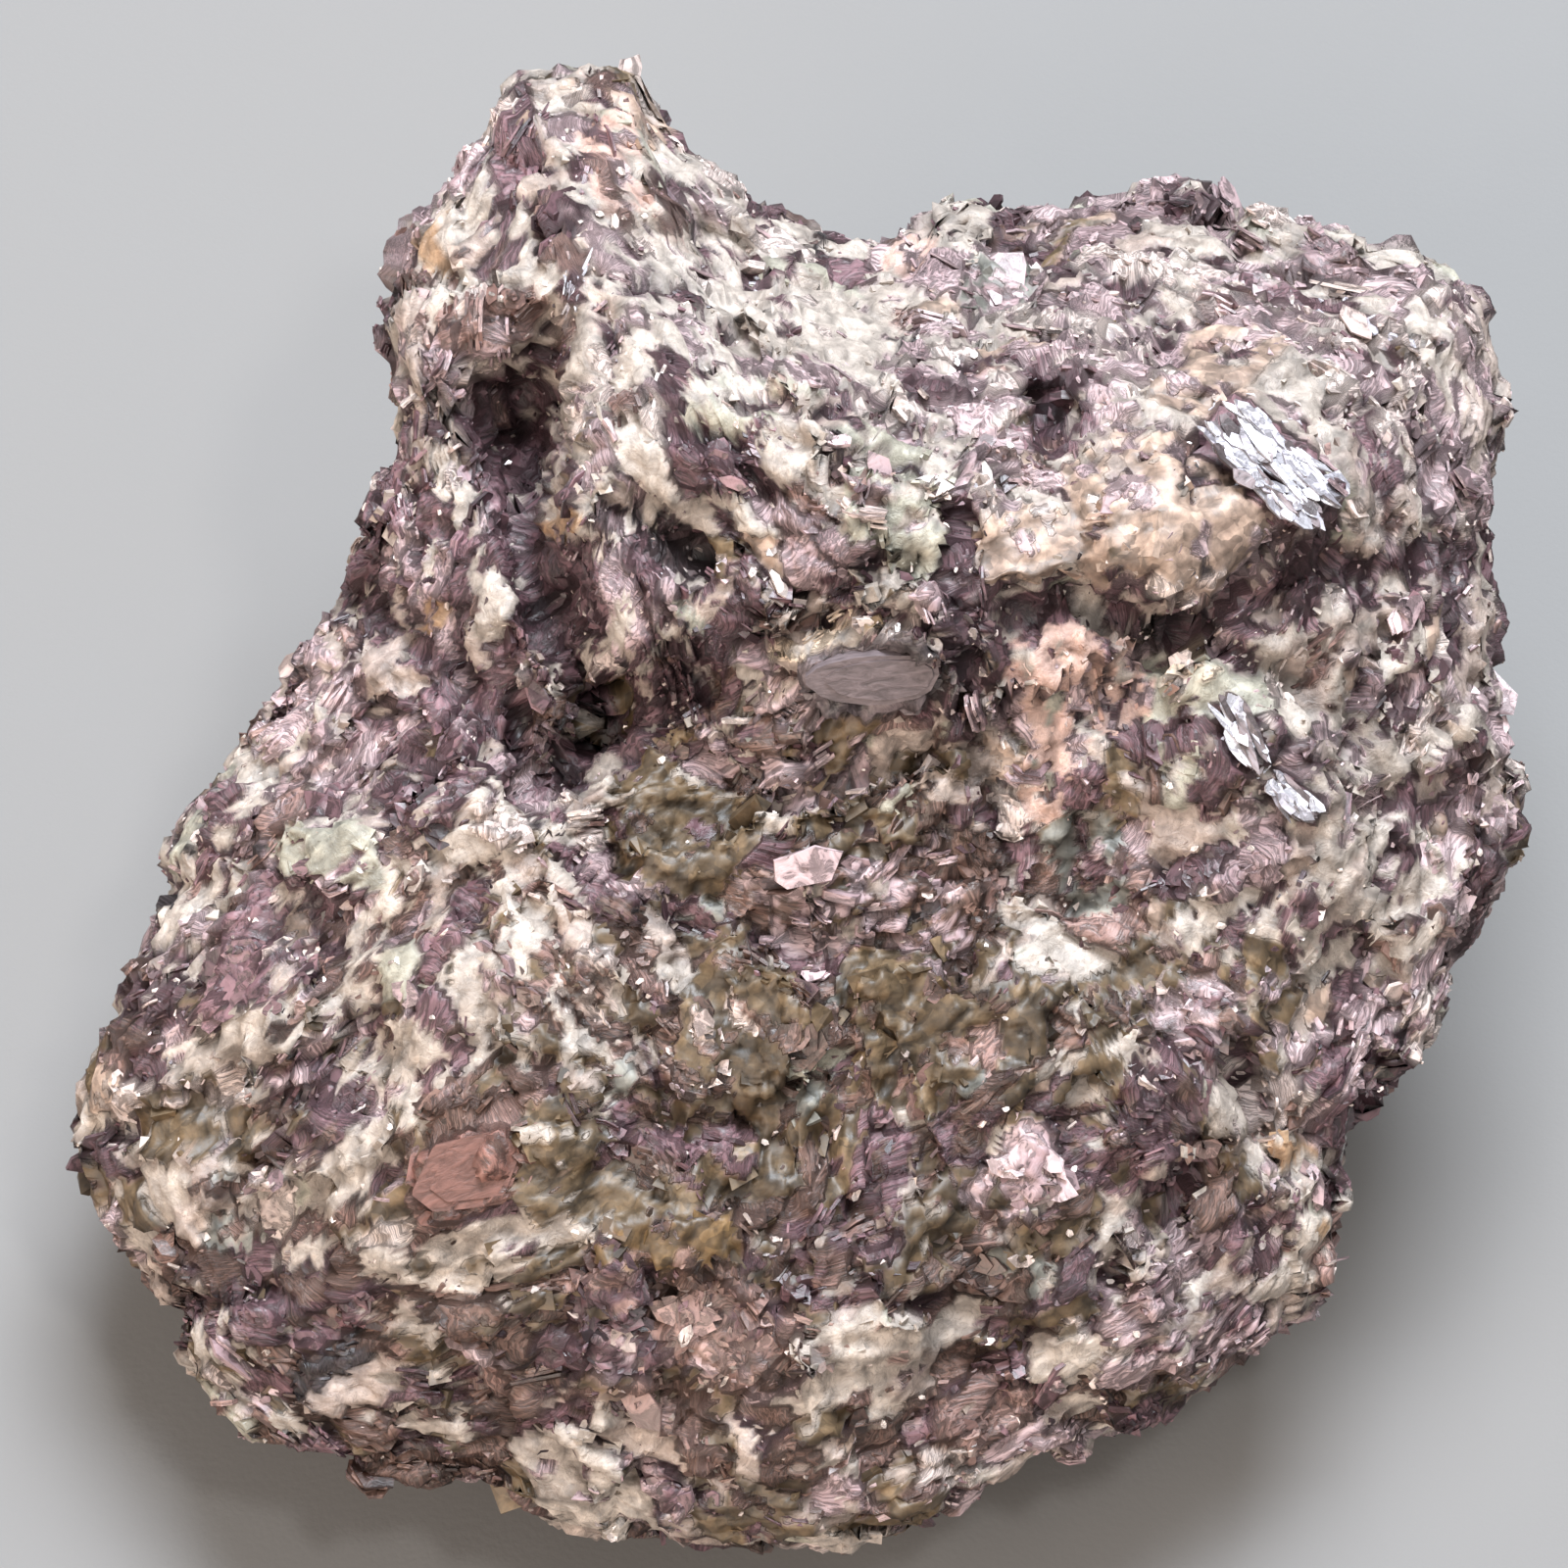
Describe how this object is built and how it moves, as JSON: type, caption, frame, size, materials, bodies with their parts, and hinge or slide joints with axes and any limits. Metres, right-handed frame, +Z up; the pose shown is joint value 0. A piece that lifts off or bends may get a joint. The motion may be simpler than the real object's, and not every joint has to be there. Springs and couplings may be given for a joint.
{
  "type": "raw lepidolite lump",
  "caption": "Palm-sized broken lump of lilac mica rock with a peak, an upper shelf and ledges, lying on its flat side",
  "frame": {"origin": "middle of the lump's box at the height of the flat side that it lies on", "axes": "+Z up; +X to the right of the best face; the best face looks along -Y and up, 62 degrees above level; the peak is at -X and +Y"},
  "size_m": [0.0908, 0.0902, 0.0551],
  "materials": {
    "lepidolite": "satin",
    "mica": "satin",
    "feldspar": "matte",
    "smoky_quartz": "gloss"
  },
  "bodies": {
    "root": {"lepidolite_lump": "lepidolite"}
  },
  "joints": []
}
